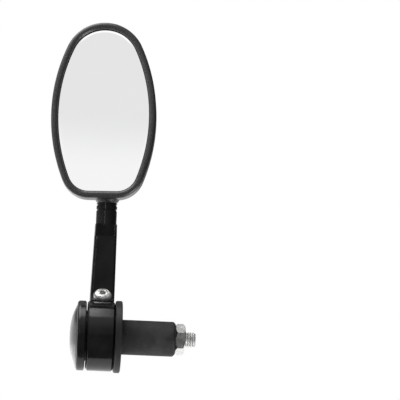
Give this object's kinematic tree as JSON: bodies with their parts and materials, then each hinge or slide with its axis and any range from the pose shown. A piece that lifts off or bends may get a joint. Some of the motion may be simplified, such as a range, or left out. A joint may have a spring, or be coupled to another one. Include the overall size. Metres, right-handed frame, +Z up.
{
  "type": "bar end mirror",
  "caption": "Bar end mirror: tall rounded mirror head on a ball joint, leaning arm with a split clamp ring, and a handlebar plug with an expanding rubber sleeve.",
  "frame": {"origin": "on the handlebar's axis, at the flange face that seats against the end of the bar", "axes": "+X along the handlebar, into the bar; +Y forward, away from the rider, so the mirror faces -Y; +Z up"},
  "size_m": [0.0798, 0.0567, 0.182],
  "materials": {
    "black_aluminium": "satin black anodised, turned",
    "black_casting": "semi-gloss black coated casting",
    "bright_steel": "bright zinc plated",
    "dark_steel": "oiled, lightly machined",
    "black_rubber": "matte moulded rubber",
    "white_nylon": "moulded nylon",
    "black_housing": "semi-gloss black",
    "foam": "closed-cell foam",
    "mirror": "silvered, ground edge"
  },
  "bodies": {
    "bar_end": {"spool": "black_aluminium", "end_cap": "black_aluminium", "dome_cover": "black_aluminium", "bolt_washer": "bright_steel", "expander_sleeve": "black_rubber"},
    "bolt": {"expander_bolt": "bright_steel"},
    "nut": {"expander_nut": "bright_steel"},
    "arm": {"arm": "black_casting", "pinch_screw": "bright_steel"},
    "ball": {"ball_stud": "dark_steel"},
    "race": {"ball_race": "white_nylon"},
    "head": {"mirror_housing": "black_housing", "mirror_glass": "mirror", "glass_tape": "foam", "pressure_cup": "white_nylon", "disc_spring": "dark_steel", "retainer_plate": "dark_steel", "retainer_screws": "dark_steel"}
  },
  "joints": [
    {"name": "bolt_turn", "type": "hinge", "parent": "bar_end", "child": "bolt", "pos_m": [0, 0, 0], "axis": [1, 0, 0], "range_deg": [0, 865]},
    {"name": "nut_draw", "type": "slide", "parent": "bar_end", "child": "nut", "axis": [-1, 0, 0], "range_m": [0, 0.003], "deforming": ["expander_sleeve"]},
    {"name": "arm_swivel", "type": "hinge", "parent": "bar_end", "child": "arm", "pos_m": [-0.0108, 0, 0], "axis": [1, 0, 0], "continuous": true},
    {"name": "head_pan", "type": "hinge", "parent": "arm", "child": "ball", "pos_m": [-0.0099, 0.0202, 0.0736], "axis": [0, 0.1219, 0.9925], "range_deg": [-25, 25]},
    {"name": "head_roll", "type": "hinge", "parent": "ball", "child": "race", "pos_m": [-0.0099, 0.0202, 0.0736], "axis": [0.0698, 0.9901, -0.1216], "range_deg": [-6.7, 9.3]},
    {"name": "head_tilt", "type": "hinge", "parent": "race", "child": "head", "pos_m": [-0.0099, 0.0202, 0.0736], "axis": [0.9973, -0.0665, 0.031], "range_deg": [-10, 10]}
  ],
  "couplings": [
    {"joint": "bolt_turn", "follows": "nut_draw", "rad_per_m": 5026.5}
  ]
}
